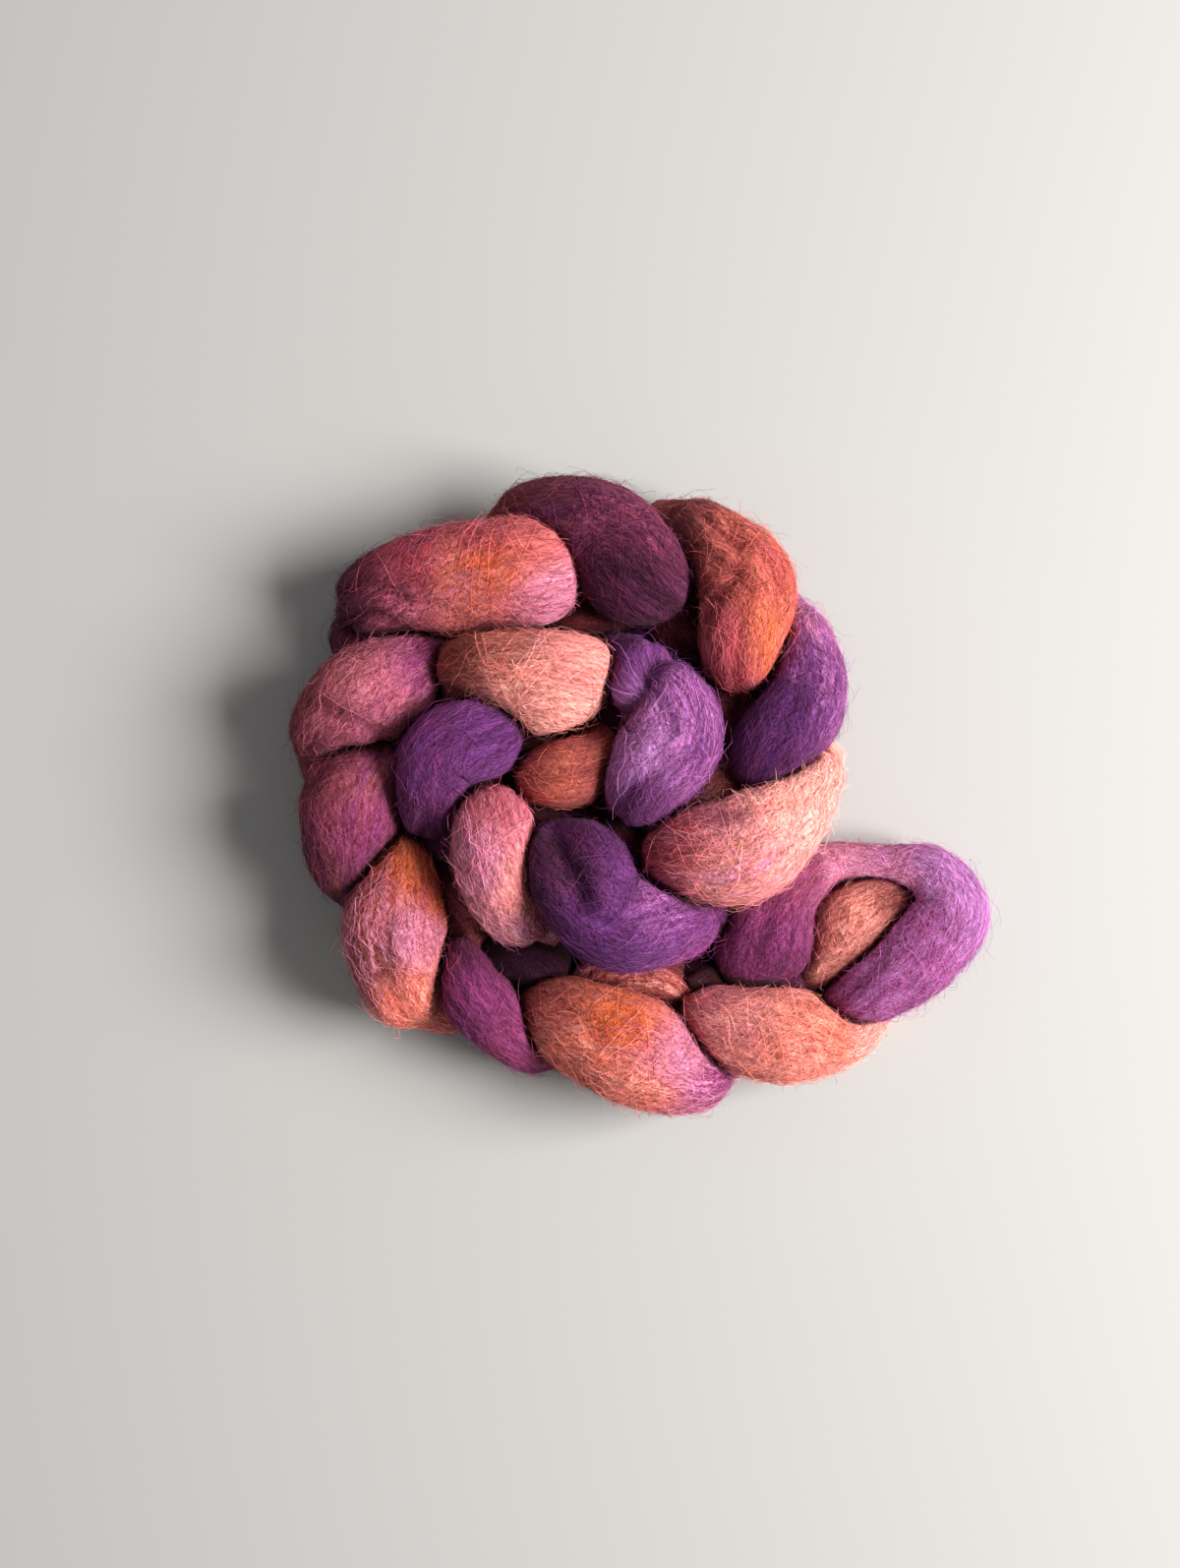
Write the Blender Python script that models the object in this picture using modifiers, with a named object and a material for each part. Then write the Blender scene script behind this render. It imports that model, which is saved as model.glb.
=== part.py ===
"""Braid of wool roving: one strand of combed top, chained by hand and coiled flat to lie at rest.

The braid is a chain of loops, each pulled up through the one before it, so it is one strand from end to
end. Every loop has a leg that lies uppermost and shows, and a run that hides below it: the dive, the bump
along the underside, the second leg and the closed end. LEGS gives the legs that show. The hidden runs
follow from them by one set of offsets. A soft oval section is lofted along the whole strand, and the wool
is then fused wherever the strand presses on itself, which leaves one solid.

Run it with: blender --background --python part.py
"""

import math
from collections import namedtuple

import bmesh
import bpy
import numpy as np

# Lengths are millimetres until the loft, which works in metres. Z is up from the rest plane.
MM = 0.001
COIL_CENTRE = (-24.0, 8.0)
BASE_CENTRE = (-1.71, -1.14)  # the middle of what it covers, which becomes the origin

# One row a loop, from the coil's centre out to the tail. The leg starts on the tail side, where the next
# loop presses on it, swells at its middle, and dives at its apex into the loop before it. Each place is
# (x, y, z) of the strand's centreline. Widths are across the strand at those three places, and height is
# its thickness at the middle.
Leg = namedtuple("Leg", "start middle apex widths height")
LEGS = (
    Leg((-15, 12, 36), (-26, 7, 38), (-36, 5, 34), (24, 27, 20), 25),
    Leg((-1, 38, 43), (8, 20, 47), (-1, 3, 44), (27, 34, 29), 29),
    Leg((-58, 42, 39), (-43, 39, 45), (-29, 34.5, 44), (23, 33, 41), 28),
    Leg((-72, -2, 36), (-66, 13, 43), (-53, 18, 41), (24, 31, 31), 27),
    Leg((-45, -38, 36), (-48, -24, 44), (-51, -8, 40), (24, 33, 27), 26),
    Leg((9, -44, 38), (-12, -40, 46), (-25, -21, 42), (27, 42, 38), 30),
    Leg((53, 2, 34), (32, -18, 45), (11, -20, 40), (25, 35, 31), 29),
    Leg((53, 49, 27), (53, 32, 33), (39, 11, 36), (22, 28, 27), 27),
    Leg((21, 85, 27), (33, 69, 33), (31, 48, 35), (26, 34, 28), 29),
    Leg((-37, 91, 27), (-16, 85, 33), (-1, 71, 35), (29, 40, 34), 31),
    Leg((-91, 66, 27), (-63, 71, 34), (-36, 74, 36), (29, 40, 35), 32),
    Leg((-107, 23, 29), (-96, 31, 33), (-77, 43, 27), (27, 36, 27), 29),
    Leg((-102, -22, 28), (-98, -6, 31), (-92, 9, 24), (27, 38, 28), 27),
    Leg((-81, -64, 27), (-84, -46, 31), (-82, -24, 24), (32, 37, 23), 28),
    Leg((-43, -84, 24), (-57, -69, 28), (-64, -55, 22), (18, 24, 18), 24),
    Leg((15, -95, 24), (-6, -85, 32), (-32, -75, 24), (27, 39, 28), 29),
    Leg((68, -84, 18), (47, -82, 27), (20, -76, 22), (19, 32, 26), 27),
)
INNER_TURN = 7  # loops of the raised inner turn; the later ones lie in the outer turn
START_SQUEEZE = 0.80  # thickness at a leg's start and at its apex, as shares of its height
APEX_SQUEEZE = 0.86

# A knot is one place on the strand: its centreline, its width and its height there.
Knot = namedtuple("Knot", "x y z width height")
FIRST_END = (Knot(-33, 21, 12, 14, 14), Knot(-19, 22, 22, 20, 18))
# The second leg and closed end of the last loop but one are drawn out under the open tail loop.
DRAWN_LEG = (
    Knot(15, -63, 18, 22, 20),
    Knot(36, -67, 9, 24, 19),
    Knot(58, -60, 13, 25, 18),
    Knot(71, -44, 19, 32, 21),
    Knot(88, -36, 16, 24, 17),
    Knot(94, -49, 7, 19, 15),
    Knot(82, -69, 6.5, 20, 15),
)
# The tail loop: in below the row of legs, up and round the open loop, and back under the last leg.
TAIL_LOOP = (
    Knot(17, -70, 9, 20, 19),
    Knot(39, -77, 9, 24, 19),
    Knot(49, -72, 11, 24, 18),
    Knot(38, -61, 18, 32, 22),
    Knot(41, -48, 24, 34, 24),
    Knot(48, -34, 24, 23, 24),
    Knot(63, -27, 13, 18, 24),
    Knot(85, -28, 12.5, 19, 26),
    Knot(99, -30, 17, 22, 26),
    Knot(103.5, -41, 22, 28, 27),
    Knot(94, -53, 23, 29, 28),
    Knot(79, -65, 20, 26, 26),
    Knot(67, -73, 14, 22, 22),
    Knot(55, -79, 10, 14, 14),
)

# Hidden runs. The turns differ only in how high they lie and how far in their second leg sits.
Turn = namedtuple("Turn", "bump_z second_z second_inward")
INNER = Turn(bump_z=13, second_z=26, second_inward=17)
OUTER = Turn(bump_z=9, second_z=17, second_inward=23)

# One knot of a hidden run, placed from its own leg: how far inward, how far along from apex to start, how
# far up from the run's own height, and the strand's width and height there.
Offset = namedtuple("Offset", "inward along up width height")
DIVE = Offset(inward=-2, along=-5, up=6, width=20, height=20)  # from the older leg's apex
BELLY = Offset(inward=-6, along=0, up=0, width=29, height=20)  # halfway between two apexes
RISE = Offset(inward=-1, along=2, up=3, width=19, height=19)  # from the newer leg's apex
SECOND_APEX = Offset(inward=9, along=6, up=0, width=24, height=24)
SECOND_MIDDLE = Offset(inward=0, along=0, up=0, width=29, height=25)
SECOND_START = Offset(inward=-7, along=8, up=-5, width=24, height=20)
CLOSED_END = Offset(inward=5, along=7, up=-13, width=20, height=17)  # from the leg's start

RING_SPACING = 2.5  # between lofted sections along the strand
RING_POINTS = 28
SPAN_STEPS = 24  # places worked out between two knots before the path is evenly resampled
LEVEL_PULL = 0.06  # how fast the oval section turns back to lie level, at each ring
FUSE_VOXEL = 1.9
RELAX_PASSES = 2
TRIANGLES = 11400
ON_BASE = 0.001  # a point this near the rest plane lies on it
DYE = (0.42, 0.10, 0.20, 1.0)
NAP_ROUGHNESS = 0.85


def clear_scene():
    for obj in list(bpy.data.objects):
        bpy.data.objects.remove(obj)


def level(x, y):
    return np.array((x, y, 0.0))


def unit(vector):
    return vector / np.linalg.norm(vector)


def directions(leg):
    """(along, inward): level unit vectors from the leg's apex to its start, and toward the coil's centre."""
    start = np.array(leg.start, float)
    middle = np.array(leg.middle, float)
    apex = np.array(leg.apex, float)
    along = unit(level(*(start - apex)[:2]))
    inward = level(-along[1], along[0])
    if inward @ (level(*COIL_CENTRE) - middle) < 0:
        inward = -inward
    return along, inward


def hidden_knot(leg, place, z, offset, further_in=0):
    """The knot that lies by this offset from one of the leg's own places."""
    along, inward = directions(leg)
    x, y, _ = np.array(place) + inward * (offset.inward + further_in) + along * offset.along
    return Knot(x, y, z + offset.up, offset.width, offset.height)


def bump(older, leg, turn):
    """The dive at the older loop's apex, and the run along the underside to the next loop's apex."""
    dive = hidden_knot(older, older.apex, turn.bump_z, DIVE)
    halves = [hidden_knot(side, side.apex, turn.bump_z, BELLY) for side in (older, leg)]
    belly = Knot(*np.mean(halves, axis=0))
    rise = hidden_knot(leg, leg.apex, turn.bump_z, RISE)
    return dive, belly, rise


def second_leg(leg, turn):
    """Up from the apex along the inner side, and round the closed end to where the first leg starts."""
    return (
        hidden_knot(leg, leg.apex, turn.second_z, SECOND_APEX),
        hidden_knot(leg, leg.middle, turn.second_z, SECOND_MIDDLE, turn.second_inward),
        hidden_knot(leg, leg.start, turn.second_z, SECOND_START, turn.second_inward),
        hidden_knot(leg, leg.start, leg.start[2], CLOSED_END),
    )


def first_leg(leg):
    heights = (leg.height * START_SQUEEZE, leg.height, leg.height * APEX_SQUEEZE)
    places = (leg.start, leg.middle, leg.apex)
    return tuple(Knot(*place, wide, high) for place, wide, high in zip(places, leg.widths, heights))


def strand_knots():
    """Every knot of the strand, from the end under the coil's centre to the end under the tail."""
    knots = list(FIRST_END)
    for number, leg in enumerate(LEGS):
        turn = INNER if number < INNER_TURN else OUTER
        if number:
            knots += bump(LEGS[number - 1], leg, turn)
            knots += DRAWN_LEG if number == len(LEGS) - 1 else second_leg(leg, turn)
        knots += first_leg(leg)
    knots += TAIL_LOOP
    return np.array(knots, float)


def smooth_path(knots):
    """Centripetal Catmull-Rom through the knots, resampled evenly by length."""
    padded = np.vstack((2 * knots[0] - knots[1], knots, 2 * knots[-1] - knots[-2]))
    gaps = np.sqrt(np.linalg.norm(np.diff(padded[:, :3], axis=0), axis=1))
    spans = []
    for index in range(1, len(padded) - 2):
        p0, p1, p2, p3 = padded[index - 1 : index + 3]
        t1 = gaps[index - 1]
        t2 = t1 + gaps[index]
        t3 = t2 + gaps[index + 1]
        t = np.linspace(t1, t2, SPAN_STEPS, endpoint=False)[:, None]
        a1 = ((t1 - t) * p0 + t * p1) / t1
        a2 = ((t2 - t) * p1 + (t - t1) * p2) / (t2 - t1)
        a3 = ((t3 - t) * p2 + (t - t2) * p3) / (t3 - t2)
        b1 = ((t2 - t) * a1 + t * a2) / t2
        b2 = ((t3 - t) * a2 + (t - t1) * a3) / (t3 - t1)
        spans.append(((t2 - t) * b1 + (t - t1) * b2) / (t2 - t1))
    dense = np.vstack(spans + [knots[-1:]])
    reached = np.append(0, np.cumsum(np.linalg.norm(np.diff(dense[:, :3], axis=0), axis=1)))
    even = np.linspace(0, reached[-1], int(reached[-1] / RING_SPACING))
    return np.stack([np.interp(even, reached, column) for column in dense.T], axis=1)


def side_vectors(tangents):
    """The direction of each section's width: carried along the strand, and drawn back to level."""
    upward = np.array((0.0, 0.0, 1.0))
    side = unit(np.cross(tangents[0], upward))
    sides = []
    for tangent in tangents:
        side = unit(side - tangent * (side @ tangent))
        flat = np.cross(tangent, upward)
        if flat @ side < 0:
            flat = -flat
        # A steep run has no level side of its own, so it is hardly pulled at all.
        side = side + LEVEL_PULL * (flat @ flat) * (flat - side)
        side = unit(side - tangent * (side @ tangent))
        sides.append(side)
    return np.array(sides)


def loft_strand(name):
    """The whole strand as a closed loft of oval sections."""
    path = smooth_path(strand_knots())
    centres = path[:, :3] - level(*BASE_CENTRE)
    tangents = np.gradient(centres, axis=0)
    tangents /= np.linalg.norm(tangents, axis=1, keepdims=True)
    sides = side_vectors(tangents)
    tops = np.cross(sides, tangents)
    mesh = bmesh.new()
    rings = []
    for centre, side, top, (width, height) in zip(centres, sides, tops, path[:, 3:]):
        ring = []
        for step in range(RING_POINTS):
            angle = math.tau * step / RING_POINTS
            place = centre + side * width / 2 * math.cos(angle) + top * height / 2 * math.sin(angle)
            ring.append(mesh.verts.new(place * MM))
        rings.append(ring)
    for ring, following in zip(rings, rings[1:]):
        for step in range(RING_POINTS):
            after = (step + 1) % RING_POINTS
            mesh.faces.new((ring[step], ring[after], following[after], following[step]))
    mesh.faces.new(rings[0])
    mesh.faces.new(rings[-1])
    bmesh.ops.recalc_face_normals(mesh, faces=mesh.faces)
    data = bpy.data.meshes.new(name)
    mesh.to_mesh(data)
    mesh.free()
    return bpy.data.objects.new(name, data)


def add_fusing(obj, ratio):
    """Fuses the loft where it presses on itself, and thins the even grid of faces that leaves."""
    fuse = obj.modifiers.new("Fuse", "REMESH")
    fuse.mode = "VOXEL"
    fuse.voxel_size = FUSE_VOXEL * MM
    relax = obj.modifiers.new("Relax", "SMOOTH")
    relax.iterations = RELAX_PASSES
    thin = obj.modifiers.new("Thin", "DECIMATE")
    thin.ratio = ratio


def evaluated_mesh(obj):
    graph = bpy.context.evaluated_depsgraph_get()
    return bpy.data.meshes.new_from_object(obj.evaluated_get(graph))


def outer_shell(mesh):
    """Keeps the outside surface only. Pockets of air closed in between the loops are filled."""
    shells = []
    waiting = set(mesh.verts)
    while waiting:
        seed = waiting.pop()
        shell = [seed]
        for vert in shell:
            for edge in vert.link_edges:
                other = edge.other_vert(vert)
                if other in waiting:
                    waiting.remove(other)
                    shell.append(other)
        shells.append(shell)
    shells.sort(key=len)
    pockets = [vert for shell in shells[:-1] for vert in shell]
    bmesh.ops.delete(mesh, geom=pockets, context="VERTS")


def flatten_base(mesh):
    """Cuts the underside level, which leaves the flat spots that the braid rests on."""
    geometry = mesh.verts[:] + mesh.edges[:] + mesh.faces[:]
    cut = bmesh.ops.bisect_plane(
        mesh, geom=geometry, plane_co=(0, 0, 0), plane_no=(0, 0, 1), clear_inner=True
    )
    rim = [item for item in cut["geom_cut"] if isinstance(item, bmesh.types.BMEdge)]
    bmesh.ops.holes_fill(mesh, edges=rim)
    for vert in mesh.verts:
        if abs(vert.co.z) < ON_BASE * MM:
            vert.co.z = 0


def fused_braid(name, collection):
    """The strand fused into one solid with flat spots at the rest plane."""
    loft = loft_strand(name + "_loft")
    collection.objects.link(loft)
    add_fusing(loft, 1.0)
    faces = 2 * len(evaluated_mesh(loft).polygons)
    loft.modifiers["Thin"].ratio = TRIANGLES / faces
    mesh = bmesh.new()
    mesh.from_mesh(evaluated_mesh(loft))
    bpy.data.objects.remove(loft)
    outer_shell(mesh)
    flatten_base(mesh)
    data = bpy.data.meshes.new(name)
    mesh.to_mesh(data)
    mesh.free()
    braid = bpy.data.objects.new(name, data)
    collection.objects.link(braid)
    return braid


def wool():
    material = bpy.data.materials.new("dyed_wool")
    material.use_nodes = True
    shader = material.node_tree.nodes["Principled BSDF"]
    shader.inputs["Base Color"].default_value = DYE
    shader.inputs["Roughness"].default_value = NAP_ROUGHNESS
    return material


def main():
    clear_scene()
    collection = bpy.data.collections.new("wool_roving_braid")
    bpy.context.scene.collection.children.link(collection)
    braid = fused_braid("roving_strand", collection)
    braid.data.materials.append(wool())


main()
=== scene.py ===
# %% [markdown]
# # A braid of wool roving, chained and coiled
# Combed top, which spinners also call roving, is a soft rope of parallel wool fibres with no twist in it.
# A dyer chains it up by hand: each loop is pulled through the one before, so the whole braid is one strand.
# This lesson builds that strand as one swept surface, presses it where it meets itself, dyes it, and then
# covers it in real fibres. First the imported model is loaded. It gives the frame that everything fits.

# %% Load the frame
import math
from collections import namedtuple

import bpy
import numpy as np
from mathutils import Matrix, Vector
from mathutils.bvhtree import BVHTree


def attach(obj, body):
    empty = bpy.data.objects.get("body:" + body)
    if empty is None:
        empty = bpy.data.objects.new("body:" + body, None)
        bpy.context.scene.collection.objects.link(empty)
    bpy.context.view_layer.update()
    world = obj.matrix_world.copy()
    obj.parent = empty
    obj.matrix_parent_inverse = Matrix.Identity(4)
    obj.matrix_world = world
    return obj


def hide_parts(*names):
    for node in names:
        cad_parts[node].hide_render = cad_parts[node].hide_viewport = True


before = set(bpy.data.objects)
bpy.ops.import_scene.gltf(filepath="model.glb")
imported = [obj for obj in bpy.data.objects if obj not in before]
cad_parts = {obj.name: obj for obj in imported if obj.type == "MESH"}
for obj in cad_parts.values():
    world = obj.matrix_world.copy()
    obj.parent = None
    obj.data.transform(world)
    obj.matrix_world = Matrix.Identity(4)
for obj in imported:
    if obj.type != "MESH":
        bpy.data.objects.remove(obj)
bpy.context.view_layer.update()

MM = 0.001

# %% [markdown]
# ## Camera
# The braid lies on a table and is looked at from straight above, at arm's length. A camera that is not
# turned at all looks straight down with +Y up, so only its place and its lens are set. The lens is worked
# out from the width of table that the picture takes in at that height.

# %% Camera
CAMERA_AT = (-0.01729, 0.00414, 0.700)
VIEW_WIDTH = 0.4169  # of table across the picture
SENSOR_WIDTH = 36.0

camera_data = bpy.data.cameras.new("camera")
camera_data.sensor_fit = "HORIZONTAL"
camera_data.sensor_width = SENSOR_WIDTH
camera_data.lens = SENSOR_WIDTH * CAMERA_AT[2] / VIEW_WIDTH
camera = bpy.data.objects.new("camera", camera_data)
camera.location = CAMERA_AT
bpy.context.scene.collection.objects.link(camera)
bpy.context.scene.camera = camera
print("lens", round(camera_data.lens, 2), "mm")

# %% [markdown]
# ## The strand's course
# The loops are given as their legs that show, from the coil's centre out to the tail. The rest of each
# loop hides below: the dive, the bump along the underside, the second leg and the closed end. Those follow
# from the legs by fixed offsets, so one small table shapes the whole braid. A spline through all these
# knots then gives the strand's centreline, with its width and height at each place.
#
# A knot's last value is its stitch. It is twice the loop's number where the leg starts, one more at the
# leg's apex, and counts on through the hidden run. It tells later cells which part of which loop a ring
# of the surface belongs to.

# %% Tables of the loops
Leg = namedtuple("Leg", "start middle apex widths height")
LEGS = (
    Leg((-15, 12, 36), (-26, 7, 38), (-36, 5, 34), (24, 27, 20), 25),
    Leg((-1, 38, 43), (8, 20, 47), (-1, 3, 44), (27, 34, 29), 29),
    Leg((-58, 42, 39), (-43, 39, 45), (-29, 34.5, 44), (23, 33, 41), 28),
    Leg((-72, -2, 36), (-66, 13, 43), (-53, 18, 41), (24, 31, 31), 27),
    Leg((-45, -38, 36), (-48, -24, 44), (-51, -8, 40), (24, 33, 27), 26),
    Leg((9, -44, 38), (-12, -40, 46), (-25, -21, 42), (27, 42, 38), 30),
    Leg((53, 2, 34), (32, -18, 45), (11, -20, 40), (25, 35, 31), 29),
    Leg((53, 49, 27), (53, 32, 33), (39, 11, 36), (22, 28, 27), 27),
    Leg((21, 85, 27), (33, 69, 33), (31, 48, 35), (26, 34, 28), 29),
    Leg((-37, 91, 27), (-16, 85, 33), (-1, 71, 35), (29, 40, 34), 31),
    Leg((-91, 66, 27), (-63, 71, 34), (-36, 74, 36), (29, 40, 35), 32),
    Leg((-107, 23, 29), (-96, 31, 33), (-77, 43, 27), (27, 36, 27), 29),
    Leg((-102, -22, 28), (-98, -6, 31), (-92, 9, 24), (27, 38, 28), 27),
    Leg((-81, -64, 27), (-84, -46, 31), (-82, -24, 24), (32, 37, 23), 28),
    Leg((-43, -84, 24), (-57, -69, 28), (-64, -55, 22), (18, 24, 18), 24),
    Leg((15, -95, 24), (-6, -85, 32), (-32, -75, 24), (27, 39, 28), 29),
    Leg((68, -84, 18), (47, -82, 27), (20, -76, 22), (19, 32, 26), 27),
)
COIL_CENTRE = (-24.0, 8.0)
BASE_CENTRE = (-1.71, -1.14)  # of the braid's box, which is moved to the origin
INNER_TURN = 7  # legs in the raised inner turn
START_SQUEEZE = 0.80  # of a leg's height, where it starts
APEX_SQUEEZE = 0.86
print(len(LEGS), "legs show")

# %% Knots at both ends of the strand
Knot = namedtuple("Knot", "x y z width height stitch")
FIRST_END = (Knot(-33, 21, 12, 14, 14, -0.5), Knot(-19, 22, 22, 20, 18, -0.2))
DRAWN_LEG = (
    Knot(15, -63, 18, 22, 20, 31.45),
    Knot(36, -67, 9, 24, 19, 31.53),
    Knot(58, -60, 13, 25, 18, 31.6),
    Knot(71, -44, 19, 32, 21, 31.67),
    Knot(88, -36, 16, 24, 17, 31.75),
    Knot(94, -49, 7, 19, 15, 31.84),
    Knot(82, -69, 6.5, 20, 15, 31.92),
)
TAIL_LOOP = (
    Knot(17, -70, 9, 20, 19, 33.2),
    Knot(39, -77, 9, 24, 19, 33.5),
    Knot(49, -72, 11, 24, 18, 33.8),
    Knot(38, -61, 18, 32, 22, 34.0),
    Knot(41, -48, 24, 34, 24, 34.1),
    Knot(48, -34, 24, 23, 24, 34.2),
    Knot(63, -27, 13, 18, 24, 34.3),
    Knot(85, -28, 12.5, 19, 26, 34.4),
    Knot(99, -30, 17, 22, 26, 34.5),
    Knot(103.5, -41, 22, 28, 27, 34.6),
    Knot(94, -53, 23, 29, 28, 34.7),
    Knot(79, -65, 20, 26, 26, 34.85),
    Knot(67, -73, 14, 22, 22, 35.0),
    Knot(55, -79, 10, 14, 14, 35.3),
)

print(len(TAIL_LOOP), "knots shape the tail loop")

# %% Offsets of the hidden runs
Turn = namedtuple("Turn", "bump_z second_z second_inward")
INNER = Turn(bump_z=13, second_z=26, second_inward=17)
OUTER = Turn(bump_z=9, second_z=17, second_inward=23)

Offset = namedtuple("Offset", "inward along up width height stitch")
DIVE = Offset(-2, -5, 6, 20, 20, 1.15)
BELLY = Offset(-6, 0, 0, 29, 20, 1.3)
RISE = Offset(-1, 2, 3, 19, 19, 1.4)
SECOND_APEX = Offset(9, 6, 0, 24, 24, 1.5)
SECOND_MIDDLE = Offset(0, 0, 0, 29, 25, 1.65)
SECOND_START = Offset(-7, 8, -5, 24, 20, 1.8)
CLOSED_END = Offset(5, 7, -13, 20, 17, 1.9)
print("a loop dips to", OUTER.bump_z, "mm in the outer turn and", INNER.bump_z, "mm in the inner one")


# %% Knots of the whole strand
def unit(vector):
    return vector / np.linalg.norm(vector, axis=-1, keepdims=True)


def directions(leg):
    """Level unit vectors from the leg's apex to its start, and toward the coil's centre."""
    start, middle, apex = (np.array(place[:2], float) for place in (leg.start, leg.middle, leg.apex))
    along = unit(start - apex)
    inward = np.array((-along[1], along[0]))
    if inward @ (np.array(COIL_CENTRE) - middle) < 0:
        inward = -inward
    return along, inward


def hidden_knot(number, place, z, offset, further_in=0, before=0):
    """The knot that lies by this offset from one of the leg's own places."""
    along, inward = directions(LEGS[number])
    x, y = np.array(place[:2]) + inward * (offset.inward + further_in) + along * offset.along
    return Knot(x, y, z + offset.up, offset.width, offset.height, 2 * (number - before) + offset.stitch)


def strand_knots():
    knots = list(FIRST_END)
    for number, leg in enumerate(LEGS):
        turn = INNER if number < INNER_TURN else OUTER
        if number:
            older = LEGS[number - 1]
            knots.append(hidden_knot(number - 1, older.apex, turn.bump_z, DIVE))
            halves = (
                hidden_knot(number - 1, older.apex, turn.bump_z, BELLY),
                hidden_knot(number, leg.apex, turn.bump_z, BELLY, before=1),
            )
            knots.append(Knot(*np.mean(halves, axis=0)))
            knots.append(hidden_knot(number, leg.apex, turn.bump_z, RISE, before=1))
        if number == len(LEGS) - 1:
            knots += DRAWN_LEG
        elif number:
            inward = turn.second_inward
            knots.append(hidden_knot(number, leg.apex, turn.second_z, SECOND_APEX, before=1))
            knots.append(hidden_knot(number, leg.middle, turn.second_z, SECOND_MIDDLE, inward, 1))
            knots.append(hidden_knot(number, leg.start, turn.second_z, SECOND_START, inward, 1))
            knots.append(hidden_knot(number, leg.start, leg.start[2], CLOSED_END, before=1))
        heights = (leg.height * START_SQUEEZE, leg.height, leg.height * APEX_SQUEEZE)
        for step, place in enumerate((leg.start, leg.middle, leg.apex)):
            knots.append(Knot(*place, leg.widths[step], heights[step], 2 * number + step / 2))
    return np.array(knots + list(TAIL_LOOP), float)


all_knots = strand_knots()
print(len(all_knots), "knots in the whole strand")

# %% The smooth centreline
PATH_STEP = 0.5  # between the places worked out along it
SPAN_STEPS = 24
LEVEL_PULL = 0.024  # how fast the oval section turns back to lie level, for each millimetre


def smooth_path(knots):
    """Centripetal Catmull-Rom through the knots, evenly spaced. It returns the rows and their lengths."""
    padded = np.vstack((2 * knots[0] - knots[1], knots, 2 * knots[-1] - knots[-2]))
    gaps = np.sqrt(np.linalg.norm(np.diff(padded[:, :3], axis=0), axis=1))
    spans = []
    for index in range(1, len(padded) - 2):
        p0, p1, p2, p3 = padded[index - 1 : index + 3]
        t1 = gaps[index - 1]
        t2 = t1 + gaps[index]
        t3 = t2 + gaps[index + 1]
        t = np.linspace(t1, t2, SPAN_STEPS, endpoint=False)[:, None]
        a1 = ((t1 - t) * p0 + t * p1) / t1
        a2 = ((t2 - t) * p1 + (t - t1) * p2) / (t2 - t1)
        a3 = ((t3 - t) * p2 + (t - t2) * p3) / (t3 - t2)
        b1 = ((t2 - t) * a1 + t * a2) / t2
        b2 = ((t3 - t) * a2 + (t - t1) * a3) / (t3 - t1)
        spans.append(((t2 - t) * b1 + (t - t1) * b2) / (t2 - t1))
    dense = np.vstack(spans + [knots[-1:]])
    reached = np.append(0, np.cumsum(np.linalg.norm(np.diff(dense[:, :3], axis=0), axis=1)))
    even = np.arange(0, reached[-1], PATH_STEP)
    return np.stack([np.interp(even, reached, column) for column in dense.T], axis=1), even


def carried_sides(tangents):
    """The direction of each section's width: carried along, and drawn back to level."""
    upward = np.array((0.0, 0.0, 1.0))
    side = unit(np.cross(tangents[0], upward))
    sides = []
    for tangent in tangents:
        flat = np.cross(tangent, upward)
        if flat @ side < 0:
            flat = -flat
        side = side + LEVEL_PULL * PATH_STEP * (flat @ flat) * (flat - side)
        side = unit(side - tangent * (side @ tangent))
        sides.append(side)
    return np.array(sides)


path, lengths = smooth_path(all_knots)
path[:, :2] -= BASE_CENTRE
tangents = unit(np.gradient(path[:, :3], axis=0))
sides = carried_sides(tangents)
strand_length = lengths[-1]
print("the strand is", round(strand_length * MM, 2), "m long")

# %% [markdown]
# ## One swept surface
# The strand is a row of oval rings round the centreline. Rings stand close together on the legs that show
# and further apart on the hidden runs, so that the triangles go where they are seen.

# %% Rings
AROUND = 60
SHOWN_STEP = 1.25
HIDDEN_STEP = 4.4
SHOWN_MARGIN = 0.12  # in stitches, past each end of a leg
STEP_EASE = 10  # path places, to each side, over which one spacing turns into the other


def ring_lengths():
    stitch = np.maximum.accumulate(path[:, 5])
    shown = (np.mod(stitch + SHOWN_MARGIN, 2) < 1 + 2 * SHOWN_MARGIN) & (stitch > 0)
    step = np.where(shown, SHOWN_STEP, HIDDEN_STEP)
    window = np.ones(2 * STEP_EASE + 1)
    step = np.convolve(np.pad(step, STEP_EASE, mode="edge"), window / len(window), mode="valid")
    counted = np.append(0, np.cumsum(PATH_STEP / step))[:-1]
    return np.interp(np.linspace(0, counted[-1], int(counted[-1])), counted, lengths)


Rings = namedtuple("Rings", "length stitch centre tangent offsets radius")


def make_rings():
    at = ring_lengths()
    column = lambda values: np.interp(at, lengths, values)
    centre = np.stack([column(path[:, axis]) for axis in range(3)], axis=1)
    tangent = unit(np.stack([column(tangents[:, axis]) for axis in range(3)], axis=1))
    side = unit(np.stack([column(sides[:, axis]) for axis in range(3)], axis=1))
    top = np.cross(side, tangent)
    angle = np.linspace(0, math.tau, AROUND, endpoint=False)
    half_wide = side * column(path[:, 3])[:, None] / 2
    half_high = top * column(path[:, 4])[:, None] / 2
    offsets = half_wide[:, None] * np.cos(angle)[:, None] + half_high[:, None] * np.sin(angle)[:, None]
    return Rings(at, column(path[:, 5]), centre, tangent, offsets, np.linalg.norm(offsets, axis=2))


rings = make_rings()
print(len(rings.length), "rings of", AROUND, "points")

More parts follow.
